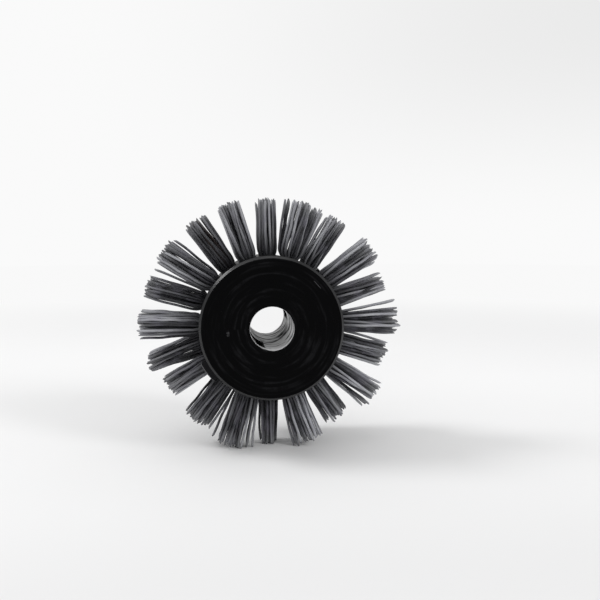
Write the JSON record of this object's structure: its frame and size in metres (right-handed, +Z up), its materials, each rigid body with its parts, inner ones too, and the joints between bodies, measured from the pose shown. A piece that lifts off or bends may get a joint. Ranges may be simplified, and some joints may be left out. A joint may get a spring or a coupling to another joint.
{
  "type": "wheel brush",
  "caption": "Round rotary brush: black hub with a shaft bore, a zigzag ring of 20 grey radial bristle tufts, and a clamp screw with lock nut near each end.",
  "frame": {"origin": "centre of the shaft bore, at the middle of the hub's length", "axes": "+Y along the bore from the front face to the rear face; +Z up as the brush stands on its bristle tips; the first tuft points along +X"},
  "size_m": [0.124, 0.06, 0.124],
  "materials": {
    "hub_plastic": "turned black plastic, glossy with faint lathe rings",
    "bristle": "crimped grey abrasive nylon filament",
    "anchor_steel": "flat drawn wire",
    "black_steel": "black oxide, lightly oiled"
  },
  "bodies": {
    "wheel": {"hub": "hub_plastic", "tuft_01": "bristle", "tuft_02": "bristle", "tuft_03": "bristle", "tuft_04": "bristle", "tuft_05": "bristle", "tuft_06": "bristle", "tuft_07": "bristle", "tuft_08": "bristle", "tuft_09": "bristle", "tuft_10": "bristle", "tuft_11": "bristle", "tuft_12": "bristle", "tuft_13": "bristle", "tuft_14": "bristle", "tuft_15": "bristle", "tuft_16": "bristle", "tuft_17": "bristle", "tuft_18": "bristle", "tuft_19": "bristle", "tuft_20": "bristle", "tuft_anchor_01": "anchor_steel", "tuft_anchor_02": "anchor_steel", "tuft_anchor_03": "anchor_steel", "tuft_anchor_04": "anchor_steel", "tuft_anchor_05": "anchor_steel", "tuft_anchor_06": "anchor_steel", "tuft_anchor_07": "anchor_steel", "tuft_anchor_08": "anchor_steel", "tuft_anchor_09": "anchor_steel", "tuft_anchor_10": "anchor_steel", "tuft_anchor_11": "anchor_steel", "tuft_anchor_12": "anchor_steel", "tuft_anchor_13": "anchor_steel", "tuft_anchor_14": "anchor_steel", "tuft_anchor_15": "anchor_steel", "tuft_anchor_16": "anchor_steel", "tuft_anchor_17": "anchor_steel", "tuft_anchor_18": "anchor_steel", "tuft_anchor_19": "anchor_steel", "tuft_anchor_20": "anchor_steel", "front_lock_nut": "black_steel", "front_square_nut": "black_steel", "rear_lock_nut": "black_steel", "rear_square_nut": "black_steel"},
    "front_screw": {"front_set_screw": "black_steel"},
    "rear_screw": {"rear_set_screw": "black_steel"}
  },
  "joints": [
    {"name": "front_screw_travel", "type": "slide", "parent": "wheel", "child": "front_screw", "axis": [-0.809, 0, -0.5878], "range_m": [-0.001, 0.005]},
    {"name": "rear_screw_travel", "type": "slide", "parent": "wheel", "child": "rear_screw", "axis": [0.809, 0, 0.5878], "range_m": [-0.001, 0.005]}
  ]
}
